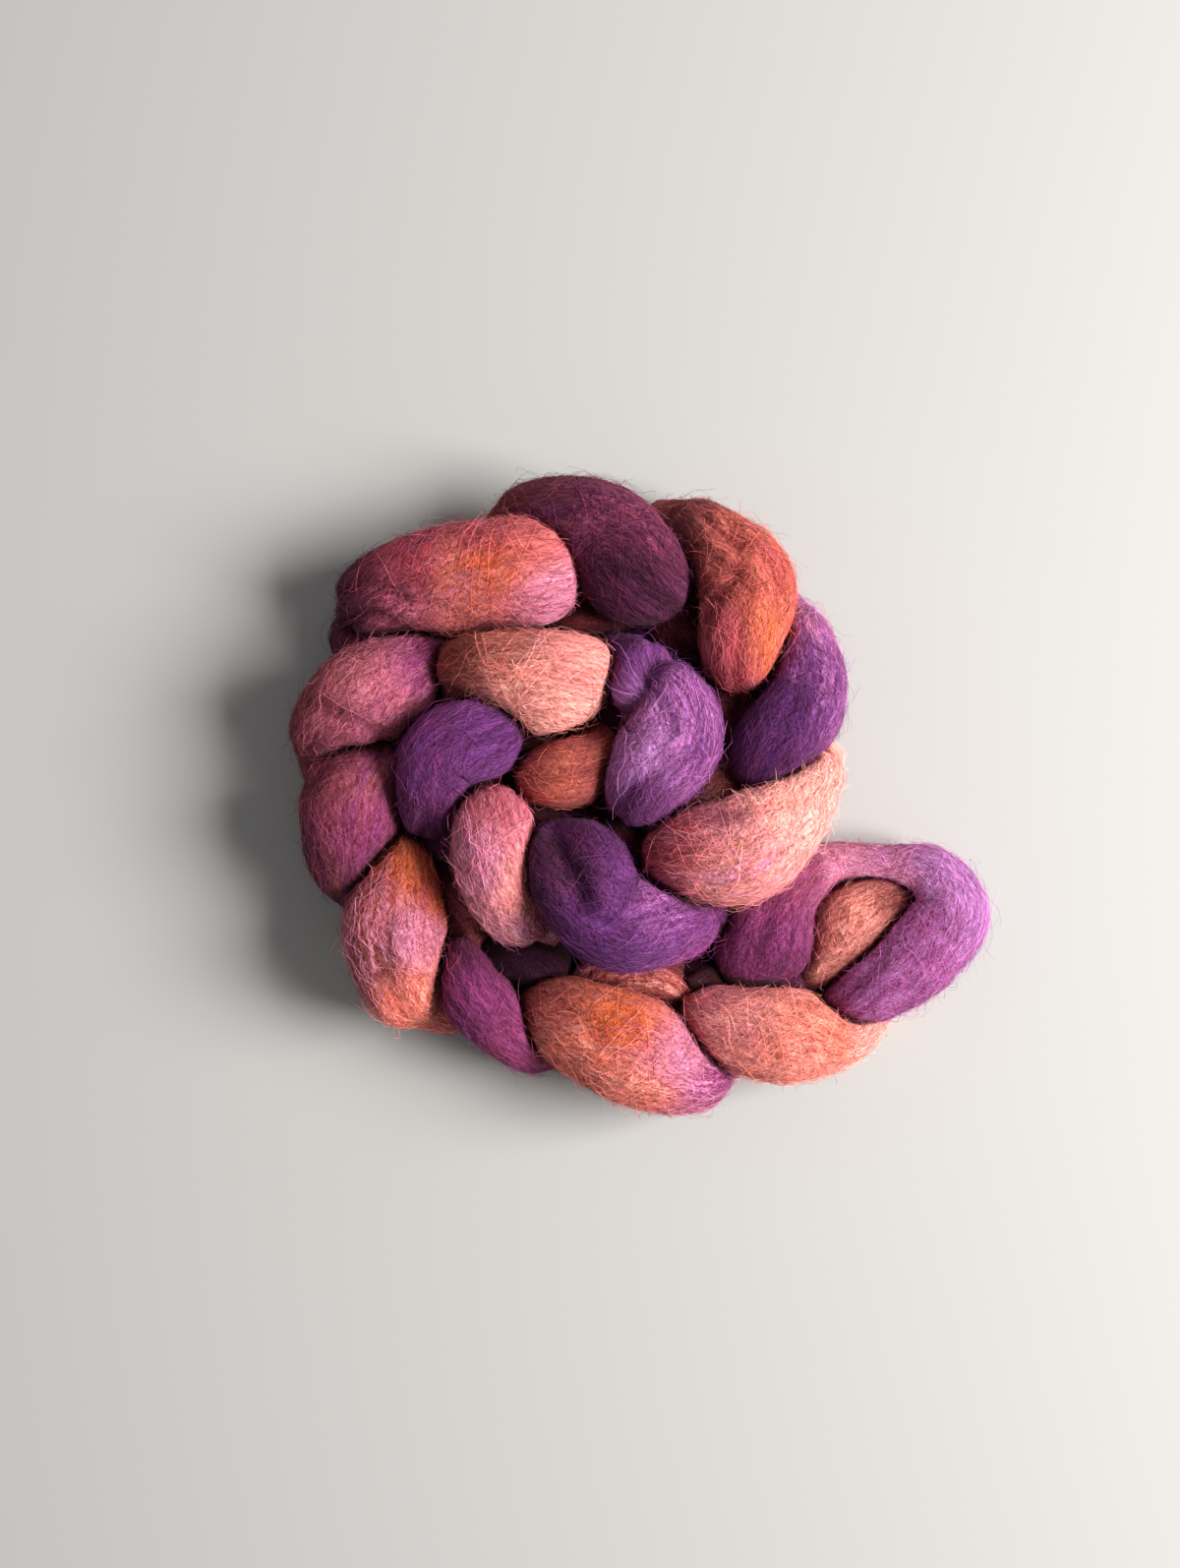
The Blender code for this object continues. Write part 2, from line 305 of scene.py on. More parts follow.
# %% [markdown]
# ## Pressing
# Soft wool does not pass through itself. Where two runs of the strand would overlap, both give way by the
# same depth and meet in a flat contact face, with a rounded shoulder at its edge. Each point of a ring is
# moved along its own ray to that face. The other run is read as a row of ellipsoids, which makes the place
# where a ray meets it the root of a quadratic, so no search is needed.

# %% Press the strand against itself
CONTACT_EVERY = 4  # path places between two of those ellipsoids
OWN_RUN = (22.0, 36.0)  # a run nearer than this along the strand is the same run, and fades in beyond
GAP = 0.35
SHOULDER = 5.0
DEEPEST = 0.75  # of the radius
FREE = 12.0  # a distance from contact that counts as far away
FAINTEST = 0.02  # a run that has faded in by less is left out
TINY = 1e-9


def pressed_depths():
    """How far each ring point stands outside the contact face. Below 0 it is pressed in."""
    rows = slice(None, None, CONTACT_EVERY)
    other = path[rows, :3]
    half = path[rows, 3:5] / 2
    reach = half.mean(axis=1)
    axes = np.stack((sides[rows], np.cross(sides[rows], tangents[rows]), tangents[rows]), axis=1)
    scale = np.column_stack((half, reach))
    other_length = lengths[rows]
    free = np.full(rings.radius.shape, FREE)
    for index, centre in enumerate(rings.centre):
        beyond = np.abs(other_length - rings.length[index]) - OWN_RUN[0]
        apart = np.clip(beyond / (OWN_RUN[1] - OWN_RUN[0]), 0, 1)
        distance = np.linalg.norm(other - centre, axis=1)
        near = (apart > FAINTEST) & (distance < half.max(axis=1) + rings.radius[index].max() + FREE)
        if not near.any():
            continue
        swell = apart[near][:, None]
        frames = axes[near] / (scale[near] * swell)[:, :, None]
        from_other = np.einsum("mij,mj->mi", frames, centre - other[near])
        along_ray = np.einsum("mij,kj->kmi", frames, rings.offsets[index])
        radius = rings.radius[index][:, None]
        size = reach[near] * swell[:, 0]
        slope = radius / size
        start = 1 - slope + GAP / size
        square = (along_ray**2).sum(axis=2) - slope**2
        middle = (along_ray * from_other).sum(axis=2) - start * slope
        rest = (from_other**2).sum(axis=1) - start**2
        inside = np.maximum(middle**2 - square * rest, 0) ** 0.5
        below = inside - middle
        meets = (middle**2 >= square * rest) & (below > TINY)
        ray = np.where(meets, rest / np.where(meets, below, 1), np.inf)
        ray = np.where((rest <= 0) & (start > 0), 0, ray)
        ray = np.where(start + slope * ray >= 0, ray, np.inf)
        nearest = np.maximum(ray.min(axis=1), 0)
        free[index] = np.minimum((nearest - 1) * rings.radius[index], FREE)
    return np.maximum(free, -DEEPEST * rings.radius)


def soften(grid, passes):
    """Evens a value out over the surface, along the strand and around it."""
    for _ in range(passes):
        grid = (np.roll(grid, 1, axis=1) + 2 * grid + np.roll(grid, -1, axis=1)) / 4
        padded = np.pad(grid, ((1, 1), (0, 0)), mode="edge")
        grid = (padded[:-2] + 2 * grid + padded[2:]) / 4
    return grid


free = soften(pressed_depths(), 2)
blend = np.maximum(SHOULDER - np.abs(free), 0) / SHOULDER
inset = np.minimum(free, 0) - blend**2 * SHOULDER / 4
print("pressed over", round(float((free < 0).mean()) * 100), "% of the strand")

# %% [markdown]
# ## Grooves and swells
# A length of top is a bundle of looser locks. Long shallow grooves run with it, drift round it and come
# and go. They are made from waves round the strand whose turn and depth wander along its length, sharpened
# so that the grooves are narrow and the ridges broad. They fade out where the strand is pressed.

# %% Relief of the strand
MEAN_RADIUS = 13.5
Groove = namedtuple("Groove", "count sharpness depth drift")
GROOVES = (
    Groove(count=2, sharpness=16, depth=1.9, drift=0.012),
    Groove(count=5, sharpness=6, depth=0.9, drift=-0.006),
    Groove(count=9, sharpness=3, depth=0.45, drift=0.004),
)
SWELL_WAVES = (28, 70)  # the shortest and longest of its waves along the strand
TURN_WAVES = (60, 160)
TURN_SWING = 1.1  # in radians, how far the grooves wander round the strand
STRENGTH_WAVES = (40, 110)
STRENGTH = 0.55  # of a groove's depth, and how far that swings
STRENGTH_SWING = 0.6
random = np.random.default_rng(7)


def slow_wave(shortest, longest, waves=4):
    """A wandering value along the strand, between about -1 and 1."""
    lengths_of = random.uniform(shortest, longest, waves)
    starts = random.uniform(0, math.tau, waves)
    phases = rings.length[:, None] / lengths_of * math.tau + starts
    return np.sin(phases).sum(axis=1) / math.sqrt(waves)


angles = np.linspace(0, math.tau, AROUND, endpoint=False)
relief = 0.5 + 0.5 * np.repeat(slow_wave(*SWELL_WAVES)[:, None], AROUND, axis=1)
for groove in GROOVES:
    phase = random.uniform(0, math.tau) + groove.drift * rings.length * math.tau
    phase = phase + TURN_SWING * slow_wave(*TURN_WAVES)
    valley = (0.5 + 0.5 * np.cos(groove.count * angles + phase[:, None])) ** groove.sharpness
    strength = np.clip(STRENGTH + STRENGTH_SWING * slow_wave(*STRENGTH_WAVES), 0, 1)
    relief -= groove.depth * strength[:, None] * valley
print(len(GROOVES), "kinds of groove, down to", round(float(relief.min()), 2), "mm")

# %% [markdown]
# ## Creases
# A crease is a short fold in one loop, where the wool was pinched as it was pulled through. Waves can't
# know where those are, so each is given one by one. Each of its places is a stitch, and how far it lies from
# the middle of the strand toward the coil's centre.

# %% Creases
CREASED_ABOVE = -2.0  # from the strand's middle, so that the underside stays smooth
FULL_RELIEF = 4.0  # how far from contact the relief has its full depth
Crease = namedtuple("Crease", "places depth breadth")
CREASES = (
    Crease(((2.01, -9), (2.06, -2), (2.14, 5), (2.17, 14)), depth=6.5, breadth=3.2),
    Crease(((16.00, -4), (16.17, -4), (16.48, -9), (16.75, -12)), depth=2.6, breadth=2.2),
    Crease(((16.25, 5), (16.60, 1)), depth=1.6, breadth=2.4),
    Crease(((19.90, -3), (20.02, 5), (20.16, 14)), depth=3.4, breadth=2.4),
    Crease(((19.90, -11), (20.06, -4), (20.22, 4)), depth=2.6, breadth=2.2),
    Crease(((11.05, 4), (10.93, -4), (10.76, -4)), depth=6.0, breadth=4.6),
    Crease(((22.15, -8), (22.39, 6), (22.50, 14)), depth=2.4, breadth=2.4),
    Crease(((31.62, 4), (31.67, 9)), depth=3.0, breadth=2.6),
)
right_of = unit(np.cross(rings.tangent, (0, 0, 1)))
toward_centre = np.einsum("nki,ni->nk", rings.offsets, right_of)
stitches = np.maximum.accumulate(path[:, 5])


def crease_depth(crease):
    """Deepest on the crease's line, and nearly gone twice its breadth away."""
    nearest = np.full(relief.shape, np.inf)
    corners = [np.array((np.interp(stitch, stitches, lengths), aside)) for stitch, aside in crease.places]
    for first, last in zip(corners, corners[1:]):
        along = rings.length[:, None] - first[0]
        aside = toward_centre - first[1]
        step = last - first
        share = np.clip((along * step[0] + aside * step[1]) / (step @ step), 0, 1)
        nearest = np.minimum(nearest, np.hypot(along - share * step[0], aside - share * step[1]))
    creased = rings.offsets[:, :, 2] > CREASED_ABOVE
    return crease.depth * np.exp(-((nearest / crease.breadth) ** 2)) * creased


for crease in CREASES:
    relief -= crease_depth(crease)
openness = np.clip(free / FULL_RELIEF, 0, 1)
relief *= openness
print("relief from", round(float(relief.min()), 2), "to", round(float(relief.max()), 2), "mm")

# %% Points of the surface
FLOOR_SOFTNESS = 0.8  # over which the underside goes flat where it rests

grown = 1 + (inset + relief) / rings.radius
points = rings.centre[:, None] + rings.offsets * grown[:, :, None]
height = points[:, :, 2]
near_floor = np.maximum(FLOOR_SOFTNESS - np.abs(height), 0) / FLOOR_SOFTNESS
points[:, :, 2] = np.maximum(height, 0) + near_floor**2 * FLOOR_SOFTNESS / 4
lowest, highest = float(points[:, :, 2].min()), float(points[:, :, 2].max())
print("the strand reaches from", round(lowest, 2), "to", round(highest, 2), "mm")

# %% [markdown]
# ## Dyeing
# The dyer pours each colour on by hand, so patches of it run along the strand and bleed into each other.
# A dab is one such patch: its stitch, how far it lies from the middle of the strand toward the coil's
# centre, its dye, and the dye that flecks it. Every point of the surface takes the dabs near it, most from
# the nearest. The two results are kept as two colours, which the wool's material mingles fibre by fibre.

# %% Dyes
DYES = {
    "shell": (0.90, 0.42, 0.36),
    "salmon": (0.75, 0.27, 0.22),
    "coral": (0.62, 0.15, 0.10),
    "orange": (0.70, 0.14, 0.04),
    "mauve": (0.58, 0.20, 0.32),
    "lilac": (0.45, 0.18, 0.42),
    "rose": (0.50, 0.13, 0.17),
    "orchid": (0.40, 0.12, 0.32),
    "crimson": (0.42, 0.06, 0.08),
    "brick": (0.36, 0.07, 0.06),
    "magenta": (0.26, 0.04, 0.15),
    "berry": (0.24, 0.04, 0.08),
    "umber": (0.20, 0.045, 0.04),
    "violet": (0.16, 0.035, 0.16),
    "purple": (0.09, 0.018, 0.10),
    "plum": (0.09, 0.014, 0.05),
    "aubergine": (0.035, 0.006, 0.02),
}
print(len(DYES), "dyes")

# %% Dabs
Dab = namedtuple("Dab", "stitch inward dye fleck")
# The dark dab about .2 to .3 past each loop's apex lies on its hidden run, which shows only in the gaps
# between loops: its dark dye is painted shade in those gaps.
DABS = (
    # Loop 0, at the centre
    Dab(0.2, -3, "brick", "umber"), Dab(0.6, 0, "coral", "brick"), Dab(1.0, 2, "crimson", "coral"),
    Dab(1.3, 0, "umber", "plum"),
    # Loop 1
    Dab(1.95, 4, "violet", "purple"), Dab(2.3, -2, "violet", "orchid"), Dab(2.4, 8, "orchid", "lilac"),
    Dab(2.6, -10, "violet", "orchid"), Dab(2.75, 2, "lilac", "orchid"), Dab(3.0, -4, "violet", "plum"),
    Dab(3.3, 0, "plum", "aubergine"),
    # Loop 2
    Dab(4.05, 0, "brick", "umber"), Dab(4.35, -3, "coral", "salmon"), Dab(4.65, 3, "salmon", "shell"),
    Dab(4.9, -8, "salmon", "rose"), Dab(4.95, 6, "shell", "salmon"), Dab(5.3, 0, "umber", "berry"),
    # Loop 3
    Dab(6.0, 0, "plum", "violet"), Dab(6.4, -6, "violet", "magenta"), Dab(6.6, 5, "violet", "purple"),
    Dab(7.0, 0, "purple", "violet"), Dab(7.3, 0, "aubergine", "plum"),
    # Loop 4
    Dab(8.0, 0, "mauve", "shell"), Dab(8.35, 3, "salmon", "rose"), Dab(8.6, -7, "mauve", "rose"),
    Dab(8.95, 2, "rose", "crimson"), Dab(9.3, 0, "berry", "plum"),
    # Loop 5
    Dab(9.95, 0, "violet", "magenta"), Dab(10.25, 6, "violet", "orchid"),
    Dab(10.5, -6, "purple", "violet"), Dab(10.6, 10, "violet", "purple"),
    Dab(10.9, -4, "aubergine", "plum"), Dab(11.0, 6, "purple", "plum"), Dab(11.3, 0, "aubergine", "plum"),
    # Loop 6
    Dab(12.0, -6, "salmon", "shell"), Dab(12.25, 2, "shell", "salmon"), Dab(12.55, -3, "salmon", "mauve"),
    Dab(12.6, 9, "rose", "salmon"), Dab(12.95, 3, "crimson", "rose"), Dab(13.3, 0, "berry", "umber"),
    # Loop 7
    Dab(13.95, -5, "orchid", "mauve"), Dab(14.3, -3, "violet", "orchid"),
    Dab(14.6, 4, "purple", "violet"), Dab(15.0, 0, "purple", "plum"), Dab(15.3, 0, "aubergine", "plum"),
    # Loop 8
    Dab(16.0, 3, "umber", "berry"), Dab(16.15, -6, "brick", "coral"), Dab(16.5, -6, "coral", "crimson"),
    Dab(16.55, 6, "brick", "berry"), Dab(16.85, -4, "coral", "orange"), Dab(16.95, 6, "crimson", "rose"),
    Dab(17.3, 0, "umber", "plum"),
    # Loop 9
    Dab(17.9, -6, "brick", "umber"), Dab(18.15, 2, "plum", "umber"), Dab(18.5, 0, "plum", "berry"),
    Dab(18.8, -8, "plum", "berry"), Dab(18.9, 4, "aubergine", "plum"), Dab(19.3, 0, "aubergine", "plum"),
    # Loop 10
    Dab(19.95, -3, "plum", "aubergine"), Dab(20.15, 6, "berry", "rose"),
    Dab(20.3, -6, "crimson", "berry"), Dab(20.6, 4, "coral", "rose"), Dab(20.7, -12, "crimson", "rose"),
    Dab(20.75, -2, "orange", "coral"), Dab(20.98, 6, "mauve", "rose"), Dab(21.3, 0, "umber", "plum"),
    # Loop 11
    Dab(22.0, -6, "umber", "berry"), Dab(22.2, 3, "berry", "rose"), Dab(22.5, -5, "rose", "umber"),
    Dab(22.6, 7, "rose", "magenta"), Dab(22.95, 2, "magenta", "rose"), Dab(23.3, 0, "plum", "umber"),
    # Loop 12
    Dab(24.0, -5, "plum", "umber"), Dab(24.3, 4, "berry", "magenta"), Dab(24.6, -6, "berry", "umber"),
    Dab(24.9, 3, "rose", "magenta"), Dab(25.3, 0, "plum", "berry"),
    # Loop 13
    Dab(26.0, 0, "coral", "salmon"), Dab(26.35, -7, "umber", "mauve"), Dab(26.5, 5, "mauve", "rose"),
    Dab(26.65, -6, "brick", "mauve"), Dab(26.75, 12, "orange", "crimson"),
    # The aubergine dab at 27.55 is painted shade: near-black dye on a hidden run that fills one deep gap.
    Dab(26.9, 4, "orange", "coral"), Dab(27.55, 2, "aubergine", "aubergine"),
    # Loop 14
    Dab(28.0, 0, "magenta", "berry"), Dab(28.5, 0, "magenta", "plum"), Dab(28.95, 0, "plum", "berry"),
    Dab(29.3, 0, "aubergine", "umber"), Dab(29.66, 0, "brick", "salmon"),
    # Loop 15
    Dab(30.0, -3, "magenta", "mauve"), Dab(30.25, 3, "mauve", "rose"), Dab(30.35, -9, "coral", "salmon"),
    Dab(30.6, 9, "orange", "brick"), Dab(30.7, -7, "coral", "salmon"), Dab(30.95, 3, "brick", "umber"),
    Dab(31.2, 0, "umber", "plum"),
    # The drawn leg, inside the tail loop
    Dab(31.5, 0, "plum", "umber"), Dab(31.66, -3, "salmon", "brick"), Dab(31.75, 0, "umber", "brick"),
    # Loop 16
    Dab(31.95, -6, "salmon", "shell"), Dab(32.3, 3, "coral", "salmon"), Dab(32.5, -7, "salmon", "coral"),
    Dab(32.8, 0, "salmon", "rose"), Dab(32.95, 6, "rose", "brick"), Dab(33.3, 0, "plum", "umber"),
    # The tail loop
    Dab(33.9, 0, "plum", "aubergine"), Dab(34.1, 0, "magenta", "plum"), Dab(34.2, -8, "berry", "magenta"),
    Dab(34.3, -3, "mauve", "rose"), Dab(34.4, 3, "mauve", "orchid"), Dab(34.55, -6, "lilac", "orchid"),
    Dab(34.7, 3, "orchid", "magenta"), Dab(34.85, -5, "orchid", "magenta"),
    Dab(35.05, 0, "magenta", "berry"),
)
print(len(DABS), "dabs")

# %% Dye every point
BLEED = 5.0  # how softly two dabs run into each other
EDGE_WAVES = (30, 90)
EDGE_SWING = 2.5  # how far a dab's edge wanders to the side


def dyed():
    """The colour of every ring point, and the colour of its flecks."""
    inward = toward_centre + EDGE_SWING * slow_wave(*EDGE_WAVES)[:, None]
    along = np.repeat(rings.length[:, None], AROUND, axis=1)
    total = np.zeros((*along.shape, 1))
    colour = np.zeros((*along.shape, 3))
    fleck = np.zeros((*along.shape, 3))
    for dab in DABS:
        away = along - np.interp(dab.stitch, stitches, lengths)
        aside = inward - dab.inward
        share = 1 / (away**2 + aside**2 + BLEED**2)[:, :, None] ** 2
        total += share
        colour += share * DYES[dab.dye]
        fleck += share * DYES[dab.fleck]
    return colour / total, fleck / total


dye, fleck = dyed()
print("the wool's mean colour is", [round(float(value), 2) for value in dye.mean(axis=(0, 1))])

# %% [markdown]
# ## The mesh
# The rings become quads, closed at both ends of the strand. The surface carries what the material and the
# fibres need: a UV map that runs along and around it, the same directions as a vector without a seam, the
# two colours, and how openly each place lies, which is found by looking out from it in many directions.

# %% Mesh of the strand
OFF_THE_MAP = -0.5  # the two tips lie there, so that no place on the map finds them


def strand_mesh():
    count = len(rings.length)
    corners = points.reshape(-1, 3) * MM
    ends = rings.centre[[0, -1]] * MM
    ring, step = np.meshgrid(np.arange(count - 1), np.arange(AROUND), indexing="ij")
    after = (step + 1) % AROUND
    here, beyond = ring * AROUND, (ring + 1) * AROUND
    quads = np.stack((here + step, beyond + step, beyond + after, here + after), axis=2)
    faces = quads.reshape(-1, 4).tolist()
    first_tip, last_tip = count * AROUND, count * AROUND + 1
    last_ring = (count - 1) * AROUND
    for place in range(AROUND):
        following = (place + 1) % AROUND
        faces.append([first_tip, place, following])
        faces.append([last_tip, last_ring + following, last_ring + place])
    mesh = bpy.data.meshes.new("roving")
    mesh.from_pydata(np.vstack((corners, ends)).tolist(), [], faces)
    uv = mesh.uv_layers.new(name="strand_uv")
    u = rings.length / strand_length
    v = np.arange(AROUND + 1) / AROUND
    flat = np.stack(
        (
            np.stack((u[ring], v[step]), axis=2),
            np.stack((u[ring + 1], v[step]), axis=2),
            np.stack((u[ring + 1], v[step + 1]), axis=2),
            np.stack((u[ring], v[step + 1]), axis=2),
        ),
        axis=2,
    ).reshape(-1, 2)
    tips = np.full((2 * 3 * AROUND, 2), OFF_THE_MAP)
    uv.data.foreach_set("uv", np.vstack((flat, tips)).astype(np.float32).ravel())
    mesh.shade_smooth()
    return mesh


roving_mesh = strand_mesh()
roving_mesh.calc_loop_triangles()
print(len(roving_mesh.loop_triangles), "triangles in the strand")

# %% How openly each place lies
SKY_DIRECTIONS = 22
HIGHEST_LOOK = 0.98  # the upward part of a direction, where 1 is straight up
LOWEST_LOOK = -0.15
GOLDEN_TURN = math.pi * (3 - math.sqrt(5))
LOOK_FROM = 0.8 * MM
LOOK_FAR = 0.3
SHUT = 0.3  # a place nearer to contact than this sees nothing
SEEN = 0.05


def sky_share(mesh):
    """The share of directions, over the upper half and a little below, in which each place sees out."""
    tree = BVHTree.FromPolygons([v.co for v in mesh.vertices], [p.vertices for p in mesh.polygons])
    normals = np.array([v.normal for v in mesh.vertices])[: len(rings.length) * AROUND]
    turns = np.arange(SKY_DIRECTIONS) * GOLDEN_TURN
    up = np.linspace(HIGHEST_LOOK, LOWEST_LOOK, SKY_DIRECTIONS)
    level = np.sqrt(1 - up**2)
    sky = [Vector(way) for way in np.stack((level * np.cos(turns), level * np.sin(turns), up), axis=1)]
    share = np.zeros((len(rings.length), AROUND))
    for index in range(0, len(rings.length), 2):
        for step in range(0, AROUND, 2):
            place = index * AROUND + step
            if free[index, step] < SHUT:
                continue
            normal = Vector(normals[place])
            start = mesh.vertices[place].co + normal * LOOK_FROM
            ways = [way for way in sky if way.dot(normal) > 0]
            seen = sum(tree.ray_cast(start, way, LOOK_FAR)[0] is None for way in ways)
            share[index, step] = seen / SKY_DIRECTIONS
    share[:, 1::2] = (share[:, ::2] + np.roll(share[:, ::2], -1, axis=1)) / 2
    share[1:-1:2] = (share[:-2:2] + share[2::2]) / 2
    return share


# The wool's material darkens places where this share is small, as painted shade in creases and gaps. Fibres
# grow only where it is large.
sky = soften(sky_share(roving_mesh), 1)
print(round(float((sky > SEEN).mean()) * 100), "% of the surface can be seen")


# %% What the surface carries
def put(mesh, name, kind, values):
    """Stores one value for each ring point. The two end points take their ring's first value."""
    values = values.reshape(len(rings.length) * AROUND, -1)
    values = np.vstack((values, values[:1], values[-1:])).astype(np.float32)
    if kind == "FLOAT_COLOR":
        values = np.column_stack((values, np.ones(len(values), np.float32)))
    field = {"FLOAT": "value", "FLOAT_VECTOR": "vector", "FLOAT_COLOR": "color"}[kind]
    mesh.attributes.new(name, kind, "POINT").data.foreach_set(field, values.ravel())


around = np.stack((np.cos(angles), np.sin(angles)), axis=1) * MEAN_RADIUS
comb = np.concatenate(
    (
        np.repeat(rings.length[:, None, None], AROUND, axis=1),
        np.repeat(around[None], len(rings.length), axis=0),
    ),
    axis=2,
)
put(roving_mesh, "comb", "FLOAT_VECTOR", comb)
put(roving_mesh, "dye", "FLOAT_COLOR", dye)
put(roving_mesh, "fleck", "FLOAT_COLOR", fleck)
put(roving_mesh, "sky", "FLOAT", sky)
roving = bpy.data.objects.new("roving", roving_mesh)
bpy.context.scene.collection.objects.link(roving)
print("the strand carries", [attribute.name for attribute in roving_mesh.attributes])

# %% [markdown]
# ## Writing node trees
# The wool's material and its fibres are both node trees. A recipe adds any node from its type, its
# settings and the values or links of its sockets. A number's socket is wrapped so that ordinary Python
# arithmetic on it adds the Math nodes, which keeps a formula readable as a formula.

# %% Numbers that add Math nodes
class Number:
    """A socket that holds one number. Arithmetic on it adds Math nodes."""

    def __init__(self, recipe, socket):
        self.recipe = recipe
        self.socket = socket

    def math(self, operation, *values):
        return self.recipe.number("ShaderNodeMath", {"operation": operation}, dict(enumerate(values)))

    def __add__(self, other):
        return self.math("ADD", self, other)

    def __sub__(self, other):
        return self.math("SUBTRACT", self, other)

    def __rsub__(self, other):
        return self.math("SUBTRACT", other, self)

    def __mul__(self, other):
        return self.math("MULTIPLY", self, other)

    def __truediv__(self, other):
        return self.math("DIVIDE", self, other)

    def __pow__(self, other):
        return self.math("POWER", self, other)

    __radd__ = __add__
    __rmul__ = __mul__

    def sine(self):
        return self.math("SINE", self)

    def wrapped(self):
        return self.math("FRACT", self)

    def eased(self, low, high):
        """0 below low, 1 above high, and a smooth step between."""
        sockets = {"Value": self, "From Min": low, "From Max": high}
        return self.recipe.number("ShaderNodeMapRange", {"interpolation_type": "SMOOTHSTEP"}, sockets)


# %% Recipe for a node tree
class Recipe:
    """Adds nodes to one tree."""

    def __init__(self, tree):
        self.tree = tree
        tree.nodes.clear()

    def node(self, kind, settings=None, sockets=None):
        """Adds a node. Settings go first, and a socket takes a value, a socket or a Number."""
        node = self.tree.nodes.new(kind)
        for name, value in (settings or {}).items():
            setattr(node, name, value)
        for key, value in (sockets or {}).items():
            socket = self.input_of(node, key)
            if isinstance(value, Number):
                value = value.socket
            if isinstance(value, bpy.types.NodeSocket):
                self.tree.links.new(value, socket)
            else:
                socket.default_value = value
        return node

    def input_of(self, node, key):
        if isinstance(key, int):
            return node.inputs[key]
        return next(socket for socket in node.inputs if socket.name == key and socket.enabled)

    def out(self, kind, settings=None, sockets=None, output=0):
        return [s for s in self.node(kind, settings, sockets).outputs if s.enabled][output]

    def number(self, kind, settings=None, sockets=None, output=0):
        return Number(self, self.out(kind, settings, sockets, output))

    def vector(self, x, y, z):
        return self.out("ShaderNodeCombineXYZ", None, {0: x, 1: y, 2: z})

    def vectors(self, operation, *values):
        """Vector Math, whose scale is its own socket."""
        if operation == "SCALE":
            sockets = {0: values[0], "Scale": values[1]}
        else:
            sockets = dict(enumerate(values))
        return self.out("ShaderNodeVectorMath", {"operation": operation}, sockets)

    def parts(self, vector):
        node = self.node("ShaderNodeSeparateXYZ", None, {0: vector})
        return [Number(self, socket) for socket in node.outputs]

    def colours(self, share, first, second, blend="MIX"):
        settings = {"data_type": "RGBA", "blend_type": blend}
        return self.out("ShaderNodeMix", settings, {"Factor": share, "A": first, "B": second})


# %% [markdown]
# ## The wool of the strand
# Combed fibres all run one way, so everything in this material is noise that is stretched along the
# strand. Coarse noise makes locks, finer noise makes the streaks of single fibres, and slow noise bends
# both a little from side to side, as crimped wool does. The streaks mingle the two dyes, lighten and
# darken them, and lift the surface. Wool is matt, with the faint bright edge that loose fibres catch,
# which is what a little sheen is for. Places that see little sky are darkened, less in red than in the
# rest: that is painted shade in the creases and gaps, on top of the shade that the light itself casts.

# %% Noise that runs with the fibres
HAIR_HALF_WIDTH = 0.05  # of the noise, to each side of its middle value


def streaks(recipe, place, along, across, detail=2.0):
    """Noise from 0 to 1 that is long with the fibres and narrow across them."""
    stretched = recipe.vectors("MULTIPLY", place, (1 / along, 1 / across, 1 / across))
    sockets = {"Vector": stretched, "Scale": 1.0, "Detail": detail, "Roughness": 0.6}
    return recipe.number("ShaderNodeTexNoise", {"noise_dimensions": "3D"}, sockets)


def twisted(recipe, place, slant):
    """The same place, turned round the strand as it goes along, so that what is drawn there slants."""
    x, _, _ = recipe.parts(place)
    sockets = {"Vector": place, "Angle": x * (slant / MEAN_RADIUS)}
    return recipe.out("ShaderNodeVectorRotate", {"rotation_type": "X_AXIS"}, sockets)


def hairs(recipe, place, slant, along, across):
    """Fine curling lines: the places where stretched noise crosses its middle value."""
    noise = streaks(recipe, twisted(recipe, place, slant), along, across, detail=1.0) - 0.5
    return 1 - noise.math("ABSOLUTE", noise).eased(0.0, HAIR_HALF_WIDTH)


# %% Sizes of the wool's detail
Bend = namedtuple("Bend", "along across reach")  # noise for each mm along and across, and its reach in mm
BENDS = (Bend(0.055, 0.10, 2.6), Bend(0.16, 0.18, 1.2), Bend(0.50, 0.45, 0.9))
Streak = namedtuple("Streak", "along across")
LOCK, STRAND, FIBRE = Streak(60, 4.5), Streak(30, 1.3), Streak(5, 0.7)
Hair = namedtuple("Hair", "slant along across")
HAIRS = (Hair(0.1, 4, 1.0), Hair(0.7, 3, 1.3), Hair(-0.6, 3, 1.3))

Shares = namedtuple("Shares", "locks strands fibres lines")
MINGLING = Shares(0.4, 0.35, 0.25, 0)  # of the choice between the two dyes
MINGLED = (0.46, 0.62)  # where that choice turns from the one to the other
TONES = Shares(0, 0.40, 0.84, 0.42)  # of the wool's lightness
BASE_TONE = 0.10
FIBRE_EDGE = (0.38, 0.62)
RELIEF = Shares(0.6, 0.15, 0.16, 0.10)  # of its height, in mm
TONE_LEFT_IN_PAINTED_SHADE = 0.09  # painted shade: what is left of the tone where no sky is seen, in the deepest creases
PAINTED_SHADE_SKY_RANGE = (0.02, 0.33)  # the share of sky over which the painted shade fades back to the full tone
WARM_STREAKS_AND_PAINTED_SHADE = 0.65  # the power on the tone's red, which keeps red in darker streaks and in the painted shade
print("streaks from", LOCK.across, "down to", FIBRE.across, "mm wide")


